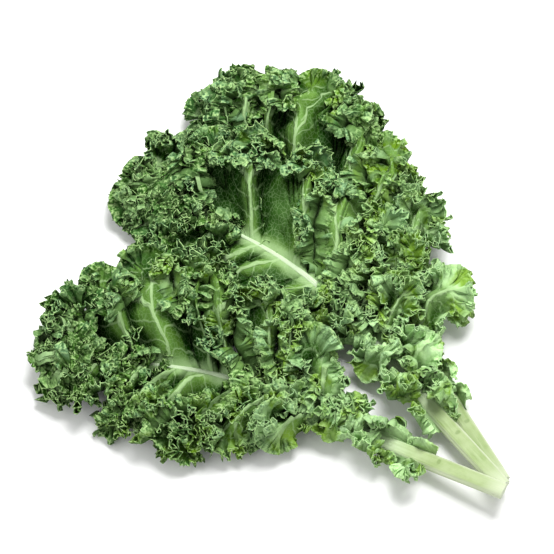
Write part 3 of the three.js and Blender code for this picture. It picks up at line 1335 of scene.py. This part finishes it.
@dataclass
class Sheet:
    """A thin sheet on one side of the midrib, modelled flat and carried to where it grows.

    Its columns run along the edge and double past each of the finer rows, which are counted
    from the midrib. Flat rows lie inside the frilled border.
    """

    SMOOTH_BELOW = 80.0  # degrees between faces that are still shaded as one
    LEVEL = 1e-6  # most that the ends of an edge along a row differ

    leaf: Leaf
    side: Side
    columns: int
    kind: str
    flat_rows: int
    finer: tuple[int, ...]

    def name(self) -> str:
        """The piece's name."""
        return f"{self.leaf.name}_{self.kind}_{self.side.name.lower()}"

    def cells(self) -> tuple[int, int]:
        """Cells along the edge, where they are finest, and out from the midrib."""
        return self.columns * 2 ** len(self.finer), self.flat_rows + len(BORDER_ROWS)

    def unrolled(self) -> bpy.types.Object:
        """Flat sheet of cells, with twice the columns past each of the finer rows."""
        rows = self.cells()[1]
        deselect_all()
        bpy.ops.mesh.primitive_grid_add(x_subdivisions=self.columns, y_subdivisions=rows, size=2)
        made = new_primitive(self.name())
        for row in self.finer:
            first, last = edge_ends(made.data)
            level = np.abs(first[:, 1] - last[:, 1]) < self.LEVEL
            pick(made, Parts.EDGES, level & (first[:, 1] > 2 * (row - 0.5) / rows - 1))
            bpy.ops.mesh.subdivide(number_cuts=1, ngon=False)
            bpy.ops.object.mode_set(mode="OBJECT")
        return made

    def grown(self, placement: Placement, grid: np.ndarray, measures: dict[str, np.ndarray],
              lobe: np.ndarray, out: np.ndarray) -> bpy.types.Object:
        """Carries the flat sheet to where it grows, and thickens it.

        Args:
            placement: where the leaves lie in the bunch.
            grid: where each place of the finest columns and rows grows.
            measures: what the finish goes by, for each place or for each column.
            lobe: lobes counted along the edge, for the growth map.
            out: millimetres out from the midrib, for the growth map.

        Returns:
            The mesh object.
        """
        made = self.unrolled()
        flat = vertex_places(made.data)[:, :2]
        index = tuple(np.rint((flat + 1) / 2 * self.cells()).astype(int).T)
        grid[..., 2] = settle(grid[..., 2])
        move_vertices(made.data, placement.metres(grid[index]))
        for name, values in measures.items():
            set_attribute(made.data, name, np.broadcast_to(values, grid.shape[:2])[index])
        corners = np.empty(len(made.data.loops), np.int32)
        made.data.loops.foreach_get("vertex_index", corners)
        uv = np.stack(np.broadcast_arrays(lobe / LOBE_SHARE, out / OUT_SHARE), -1)[index][corners]
        layer = made.data.uv_layers.new(name=GROWTH_MAP)
        layer.data.foreach_set("uv", np.ascontiguousarray(uv, np.float32).ravel())
        self.thicken(made)
        return made

    def thicken(self, made: bpy.types.Object) -> None:
        """Gives the sheet its thickness, with the lower face a finish of its own.

        Args:
            made: the sheet's middle face.
        """
        made.data.materials.clear()
        wall = made.modifiers.new("thickness", "SOLIDIFY")
        wall.thickness = SHEET * MM
        wall.offset = 0.0
        wall.material_offset = 1
        wall.material_offset_rim = 0
        deselect_all()
        made.select_set(True)
        bpy.context.view_layer.objects.active = made
        made.data.materials.append(None)
        made.data.materials.append(None)
        bpy.ops.object.modifier_apply(modifier=wall.name)
        places = vertex_places(made.data)
        places[:, 2] = np.maximum(places[:, 2], 0.0)
        move_vertices(made.data, places)
        bpy.ops.object.shade_smooth_by_angle(angle=math.radians(self.SMOOTH_BELOW))

    def dress(self, made: bpy.types.Object, finishes: tuple[bpy.types.Material, ...]) -> None:
        """Finishes the sheet and puts it in its node's place.

        Args:
            made: the finished mesh object.
            finishes: the materials of its upper and its lower face.
        """
        for index, finish in enumerate(finishes):
            made.data.materials[index] = finish
        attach(made, BODY)
        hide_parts(f"{self.leaf.name}_leaf_blade")


@dataclass
class HalfBlade(Sheet):
    """One side of a blade, from its lowest lobe to the tip.

    Puckers are fine swellings of the flat, away from the midrib and from the edge.
    """

    FARTHEST_IN = 60.0  # most that the finish reads as a distance from the edge
    FARTHEST_OUT = 100.0  # and from the midrib
    # the ridge measure feeds only the painted shade between the side veins
    RIDGES_FROM = (2.0, 14.0)  # distances from the midrib between which ridges begin to show
    PUCKER_WAVES = 12  # how many waves the puckers are the sum of
    PUCKER_SEED = 40  # sets their chances apart from the leaf's others

    kind: str = "blade"
    flat_rows: int = 12
    finer: tuple[int, ...] = (3, 8, 12, 14, 17)
    pucker: float = 2.0
    pucker_length: float = 8.0
    puckers_a_lobe: float = 3.4
    pucker_in: tuple[float, float] = (8.0, 20.0)
    pucker_out: tuple[float, float] = (1.0, 8.0)

    def build(self, growth: Growth, placement: Placement) -> bpy.types.Object:
        """Models the half blade.

        Args:
            growth: the whole blade's form.
            placement: where the leaves lie in the bunch.

        Returns:
            The finished mesh object.
        """
        leaf = self.leaf
        rows = np.concatenate([np.linspace(0.0, 1.0, self.flat_rows + 1), 1 + np.array(BORDER_ROWS)])
        tip = np.interp(0.0, growth.s, growth.run)
        low, high = (0.0, tip) if self.side is Side.NEAR else (tip, growth.run[-1])
        run = growth.border.columns(low, high, self.cells()[0] + 1)
        grid, crest = growth.place(run, rows)
        s = np.interp(run, growth.run, growth.s)[:, None]
        reach, width, lobe = leaf.reach(s), leaf.width(s), leaf.lobe(s)
        flat_share, border_share = np.minimum(rows, 1.0), np.maximum(rows - 1, 0)
        out = reach * flat_share + width * border_share
        inset = reach * (1 - flat_share) + width * (1 - border_share)
        puckers = Wander(leaf.seed + self.PUCKER_SEED, self.PUCKER_WAVES)
        rough = puckers.plane(out / self.pucker_length, lobe * self.puckers_a_lobe + 0 * out)
        plain = ease(*self.pucker_in, inset) * ease(*self.pucker_out, out)
        grid[..., 2] += self.pucker * plain * rough
        measures = {
            "crest": crest,
            "inset": np.clip(inset, 0, self.FARTHEST_IN),
            "out": np.clip(out, 0, self.FARTHEST_OUT),
            "lobe_width": leaf.lobe_width(s + 0 * out, out),
            "ripe": 1 - np.abs(s),
            "ridge": leaf.ridge(s) * ease(*self.RIDGES_FROM, out),
        }
        return self.grown(placement, grid, measures, lobe, out)


@dataclass(kw_only=True)
class RibFrill(Sheet):
    """The frilled leaflets that grow close beside the midrib and curl over it.

    They begin and end at some distances from the cut, and shrink over the first and the last
    millimetres of their row.
    """

    UP = np.array([0.0, 0.0, 1.0])
    PLACES = 1001  # places along the midrib that the line is found at
    LIFT = 0.5  # height of the line over the midrib's middle
    CLEAR = 1.0  # least distance from the midrib's side
    ROOT_OUT = 12.0  # distance from the midrib that the finish reads at the roots
    LOBE_WIDTH = 30.0  # stretch of the row that the finish counts as one lobe
    SHRINKS = (24.0, 22.0)  # lengths of the shrinking stretches at its first and last end
    BORDER_SEED = 80  # sets the frill's chances apart from the blade's edge
    SMALLEST = 0.25  # share of the width at the row's ends
    TILT = 0.5  # how far the frill leans out, next to its rise
    ASIDE = Uneven(4.5, 1 / 24, 70)
    UNEVEN_WIDTH = Uneven(0.45, 1 / 22, 72)
    UNEVEN_CURL = Uneven(45.0, 1 / 26, 74)
    UNEVEN_TILT = Uneven(0.45, 1 / 28, 76)

    start: float
    end: float
    flat_rows: int = 0
    finer: tuple[int, ...] = (0, 2, 5)
    width: float = 19.0
    curl: float = 85.0

    def border(self) -> Border:
        """The frill, which stands beside the midrib."""
        far = self.side.value
        seed = self.leaf.seed + far
        distance = lerp(self.start, self.end, np.linspace(0.0, 1.0, self.PLACES))
        rib = self.leaf.course(distance)
        root = self.CLEAR + self.ASIDE.swing + self.ASIDE.along(distance, seed)
        line = rib["point"] + rib["across"] * (far * (rib["width"] / 2 + root))[:, None]
        line[:, 2] += self.LIFT
        run = Border.lengths(line)
        even = np.arange(0.0, run[-1], Border.STEP)
        line, across = (resampled(vectors, run, even) for vectors in (line, rib["across"]))
        tilt = (self.TILT + self.UNEVEN_TILT.along(even, seed))[:, None]
        first, last = self.SHRINKS
        ends = ease(0.0, first, even) * ease(even[-1], even[-1] - last, even)
        width = self.width * lerp(self.SMALLEST, 1.0, ends)
        hem = Hem(
            line=line,
            outward=unit(self.UP + tilt * far * across),
            normal=unit(tilt * self.UP - far * across),
            width=width * (1 + self.UNEVEN_WIDTH.along(even, seed)),
            curl=self.curl + self.UNEVEN_CURL.along(even, seed),
            calm=np.ones_like(even),
            tip=np.zeros_like(even),
            deep=np.ones_like(even),
        )
        return Border(self.leaf.frills, seed + self.BORDER_SEED, hem)

    def build(self, placement: Placement) -> bpy.types.Object:
        """Models the frill.

        Args:
            placement: where the leaves lie in the bunch.

        Returns:
            The finished mesh object.
        """
        border = self.border()
        run = border.columns(0.0, border.run[-1], self.cells()[0] + 1)
        run = run[::-1] if self.side is Side.FAR else run
        shares = np.array((0.0, *BORDER_ROWS))
        grid, crest = border.ruffled(run, shares, border.rise(run, shares))
        width = border.at(run, border.hem.width)
        out = width * shares[None]
        ahead = lerp(self.start, self.end, run / border.run[-1])
        measures = {
            "crest": crest,
            "inset": width - out,
            "out": out + self.ROOT_OUT,
            "lobe_width": np.array(self.LOBE_WIDTH),
            "ripe": (TIP_FAN * (ahead - PETIOLE) / (self.leaf.length - PETIOLE))[:, None],
        }
        return self.grown(placement, grid, measures, (run / self.LOBE_WIDTH)[:, None], out)


@dataclass
class Stalk:
    """A leaf's stalk, cut square at its butt, which runs on as the midrib.

    It is ribbed lengthwise and grooved along its top past the cut, whose face is dished.
    """

    SMOOTH_BELOW = 50.0  # degrees between faces that are still shaded as one
    FACING = 0.9  # least share of an end face's normal that points lengthwise
    WALL_SIDES = 4  # sides of the faces round the stalk and round its ends
    CUT = 0.01  # farthest from the butt that a point is still on the cut

    leaf: Leaf
    sides: int = 40
    rings: int = 150
    ribs: int = 9
    rib_depth: float = 0.28
    groove: float = 0.9
    groove_from: float = 0.75
    ribbed_from: float = 12.0
    ribbed_width: float = 12.0
    cap_rings: int = 3
    cap_inset: float = 0.28
    dish: float = 0.7
    dish_radius: float = 0.95

    def name(self) -> str:
        """The piece's name."""
        return f"{self.leaf.name}_stalk"

    def build(self, placement: Placement) -> bpy.types.Object:
        """Models the stalk straight, and carries it to its course.

        Args:
            placement: where the leaves lie in the bunch.

        Returns:
            The finished mesh object.
        """
        deselect_all()
        bpy.ops.mesh.primitive_cylinder_add(vertices=self.sides, radius=1, depth=2, end_fill_type="NGON")
        made = new_primitive(self.name())
        first, last = edge_ends(made.data)
        pick(made, Parts.EDGES, np.abs(first[:, 2] - last[:, 2]) > 1)
        bpy.ops.mesh.subdivide(number_cuts=self.rings, ngon=False)
        bpy.ops.object.mode_set(mode="OBJECT")
        self.cap(made)
        self.bend(made, placement)
        made.data.materials.clear()
        bpy.ops.object.shade_smooth_by_angle(angle=math.radians(self.SMOOTH_BELOW))
        return made

    def cap(self, made: bpy.types.Object) -> None:
        """Insets the two ends, so that the cut end can be dished."""
        for _ in range(self.cap_rings):
            facing = [abs(face.normal.z) > self.FACING for face in made.data.polygons]
            sides = [len(face.vertices) for face in made.data.polygons]
            pick(made, Parts.FACES, np.array(facing) & (np.array(sides) > self.WALL_SIDES))
            bpy.ops.mesh.inset(thickness=self.cap_inset, use_individual=True)
            bpy.ops.object.mode_set(mode="OBJECT")

    def bend(self, made: bpy.types.Object, placement: Placement) -> None:
        """Carries the straight stalk to its course, with its ribs and its groove.

        Args:
            made: the straight stalk, 2 high and 1 in radius.
            placement: where the leaves lie in the bunch.
        """
        x, y, z = vertex_places(made.data).T
        distance = (1 - z) / 2 * self.leaf.length
        radius = np.hypot(x, y)
        turn = np.arctan2(y, x)
        course = self.leaf.course(distance)
        up = np.sin(turn) * np.where(np.sin(turn) > 0, STALK_FLAT, 1.0)
        fade = ease(0.0, self.ribbed_from, distance) * np.clip(course["width"] / self.ribbed_width, 0, 1)
        ribs = self.rib_depth * fade * np.cos(self.ribs * 2 * turn)
        groove = self.groove * fade * ease(self.groove_from, 1.0, np.sin(turn))
        side = (course["width"] / 2 + ribs) * np.cos(turn) * radius
        points = course["point"] + course["across"] * side[:, None]
        points[:, 2] += ((course["deep"] / 2 + ribs) * up - groove) * radius
        cut = (distance < self.CUT) & (radius < self.dish_radius)
        points += course["along"] * np.where(cut, self.dish * (1 - radius), 0.0)[:, None]
        points[:, 2] = np.maximum(points[:, 2], 0.0)
        move_vertices(made.data, placement.metres(points))
        set_attribute(made.data, "along", distance)
        set_attribute(made.data, "round", turn)

    def dress(self, made: bpy.types.Object, finish: bpy.types.Material) -> None:
        """Finishes the stalk and puts it in its node's place.

        Args:
            made: the finished mesh object.
            finish: its material.
        """
        made.data.materials.append(finish)
        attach(made, BODY)
        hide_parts(f"{self.leaf.name}_leaf_stalk")


@dataclass(frozen=True)
class Lamp:
    """A soft square light, its place in metres, the length of its side and its power in watts."""

    name: str
    place: Triple
    size: float
    power: float


@dataclass
class Studio:
    """White table, soft lights and the camera over the bunch."""

    elevation: float = 65.0
    distance: float = 6.0
    lens: float = 520.0
    aim: Triple = (0.00645, 0.01046, 0.0)
    table: float = 6.0
    table_tone: float = 0.93
    table_roughness: float = 0.8
    room_light: float = 0.52
    lamps: tuple[Lamp, ...] = (
        Lamp("key", (0.25, 0.6, 1.6), 0.9, 40.0),
        Lamp("fill", (-1.1, -0.6, 1.3), 1.4, 9.0),
    )

    @staticmethod
    def hang(name: str, data: bpy.types.ID, place: Vector, facing: Vector) -> bpy.types.Object:
        """Puts a camera or a light up.

        Args:
            name: what it is called.
            data: the camera's or the light's own settings.
            place: where it hangs, in metres.
            facing: the direction that it faces.

        Returns:
            The object that hangs there.
        """
        hung = bpy.data.objects.new(name, data)
        bpy.context.scene.collection.objects.link(hung)
        hung.location = place
        hung.rotation_euler = facing.to_track_quat("-Z", "Y").to_euler()
        return hung

    def camera(self) -> None:
        """Sets the camera over the near side of the bunch."""
        data = bpy.data.cameras.new("camera")
        data.lens = self.lens
        angle = math.radians(self.elevation)
        back = Vector((0.0, -math.cos(angle), math.sin(angle)))
        place = Vector(self.aim) + back * self.distance
        bpy.context.scene.camera = self.hang("camera", data, place, -back)

    def light(self, lamp: Lamp) -> None:
        """Hangs a soft square light that faces the bunch.

        Args:
            lamp: its size, power and place.
        """
        data = bpy.data.lights.new(lamp.name, "AREA")
        data.size = lamp.size
        data.energy = lamp.power
        place = Vector(lamp.place)
        self.hang(lamp.name, data, place, -place)

    def lay_table(self) -> None:
        """Lays the white table."""
        deselect_all()
        bpy.ops.mesh.primitive_plane_add(size=self.table)
        table = new_primitive("table")
        nodes = Nodes("white_table")
        nodes.shader.inputs["Base Color"].default_value = (*[self.table_tone] * 3, 1.0)
        nodes.shader.inputs["Roughness"].default_value = self.table_roughness
        table.data.materials.append(nodes.material)

    def build(self) -> None:
        """Sets the camera, lays the table and lights the room."""
        self.camera()
        self.lay_table()
        for lamp in self.lamps:
            self.light(lamp)
        world = bpy.data.worlds.new("room")
        world.use_nodes = True
        room = world.node_tree.nodes["Background"]
        room.inputs["Color"].default_value = (1.0, 1.0, 1.0, 1.0)
        room.inputs["Strength"].default_value = self.room_light
        bpy.context.scene.world = world
        bpy.context.scene.view_settings.view_transform = "Standard"


BACK_FAR = FarMargin(
    reach=(8.5, 9.0, 11.0, 25.0, 44.0, 34.0, 70.0, 72.0, 75.0, 92.0, 96.0,
           89.5, 82.5, 72.5, 51.0, 43.5, 39.5, 40.0, 33.0, 28.0, 24.0),
    first=0.45,
    notches=(0.85, 0.85, 0.85, 0.6, 0.4, 0.12, 0.12, 0.4, 0.7, 0.8, 0.85),
    pace=EVEN_PACE,
)
BACK_NEAR = NearMargin((12.0, 12.0, 24.0, 46.0, 66.0, 64.0, 52.0, 44.0, 38.0, 38.0, 34.0))
MIDDLE_FAR = FarMargin((12.0, 20.0, 42.0, 69.0, 84.0, 85.0, 76.0, 54.0, 41.0, 45.0, 49.0), first=-0.25)
MIDDLE_NEAR = NearMargin((12.0, 10.0, 22.0, 48.0, 84.0, 78.0, 54.0, 44.0, 44.0, 47.5, 51.0))
FRONT_FAR = FarMargin(
    reach=(7.0, 6.0, 7.0, 12.0, 23.0, 45.0, 66.0, 77.0, 84.0, 87.5, 90.0,
           86.5, 73.5, 70.5, 55.5, 44.5, 34.0, 32.0, 36.0, 40.5, 42.0),
    first=0.3,
    pace=(12.0, 13.0, 15.0, 17.5, 16.0, 19.0, 11.5, 13.0, 14.0, 14.0, 14.0),
    count=14.23,
)
FRONT_NEAR = NearMargin(
    reach=(22.0, 17.0, 18.0, 6.0, 20.0, 48.0, 57.0, 77.0, 85.0, 90.0, 70.0,
           72.0, 61.0, 58.0, 43.0, 43.0, 42.5, 39.5, 37.0, 38.0, 40.0),
    curl=(45.0, 48.0, 58.0, 68.0, 72.0, 72.0, 72.0, 72.0, 75.0, 82.0, 90.0),
)

LEAVES = (
    Leaf(
        "back", butt=(0.0, 2.6), heading=59.5, bend=27.0, length=342.0, spread=1.1,
        rib_height=(5.3, 5.4, 5.2, 4.3, 3.4, 3.2, 4.0),
        far=Fold(0.66, 31.0, 13.0, 1.0), near=Fold(0.4, -3.0, -9.0, 0.2),
        seed=300, far_margin=BACK_FAR, near_margin=BACK_NEAR,
    ),
    Leaf(
        "middle", butt=(0.0, -5.8), heading=50.5, bend=30.0, length=338.0, spread=1.0,
        rib_height=(15.0, 14.4, 14.2, 16.5, 18.5, 16.5, 12.0),
        far=Fold(0.85, 22.0, 18.0, 0.9), near=Fold(0.3, 1.0, -17.0, 0.35),
        seed=200, far_margin=MIDDLE_FAR, near_margin=MIDDLE_NEAR,
    ),
    Leaf(
        "front", butt=(0.0, -13.8), heading=27.0, bend=30.0, length=333.0, spread=1.0,
        rib_height=(24.2, 16.5, 11.0, 9.5, 10.0, 9.0, 7.0),
        far=Fold(0.85, 25.0, 21.0, 1.0), near=Fold(0.5, 12.0, -4.0, 1.0),
        seed=100, far_margin=FRONT_FAR, near_margin=FRONT_NEAR,
    ),
)

# Columns of each half blade beside the midrib, where they are fewest.
COLUMNS = {
    "back": {Side.FAR: 195, Side.NEAR: 50},
    "middle": {Side.FAR: 200, Side.NEAR: 85},
    "front": {Side.FAR: 200, Side.NEAR: 190},
}

# Rows of leaflets: their kind, where they start and end along the midrib, and their columns.
LEAFLETS = {
    "back": (),
    "middle": (("leaflets", 64.0, 212.0, 130), ("tip_leaflets", 284.0, 336.0, 55)),
    "front": (("leaflets", 86.0, 224.0, 130), ("tip_leaflets", 272.0, 331.0, 55)),
}
# how far the leaves' heights are evened out, for the painted shade under them
CANOPY_SPREAD = 5 * MM


def report(piece: bpy.types.Object) -> None:
    """Reports a finished piece's triangles and its highest point.

    Args:
        piece: the piece.
    """
    triangles = sum(len(face.vertices) - 2 for face in piece.data.polygons)
    top = vertex_places(piece.data)[:, 2].max() / MM
    LOG.info("%s: %d triangles, %.1f mm high", piece.name, triangles, top)


def main() -> None:
    """Builds the bunch leaf by leaf, and the table and lights round it."""
    logging.basicConfig(level=logging.INFO, format="%(message)s")
    Studio().build()
    placement = Placement()
    placement.settle(LEAVES[0], "back_leaf_stalk")
    LOG.info("shift %s", placement.shift)
    green = LeafFinish("kale_green")
    blade_finishes = (green.build(), green.build(under=True))
    stalk_finish = StalkFinish("kale_stalk").build()
    sheets = []
    for leaf in LEAVES:
        stalk = Stalk(leaf)
        made = stalk.build(placement)
        stalk.dress(made, stalk_finish)
        report(made)
        growth = Growth(leaf)
        for side in Side:
            half = HalfBlade(leaf, side, COLUMNS[leaf.name][side])
            made = half.build(growth, placement)
            half.dress(made, blade_finishes)
            sheets.append(made)
            report(made)
        for kind, start, end, columns in LEAFLETS[leaf.name]:
            for side in Side:
                frill = RibFrill(leaf, side, columns, kind, start=start, end=end)
                made = frill.build(placement)
                frill.dress(made, blade_finishes)
                sheets.append(made)
                report(made)
    # depth of each sheet under the leaves round it, for painted shade and painted highlight
    canopy = Canopy(sheets, CANOPY_SPREAD)
    for sheet in sheets:
        canopy.shade(sheet)
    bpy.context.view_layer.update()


if __name__ == "__main__":
    main()
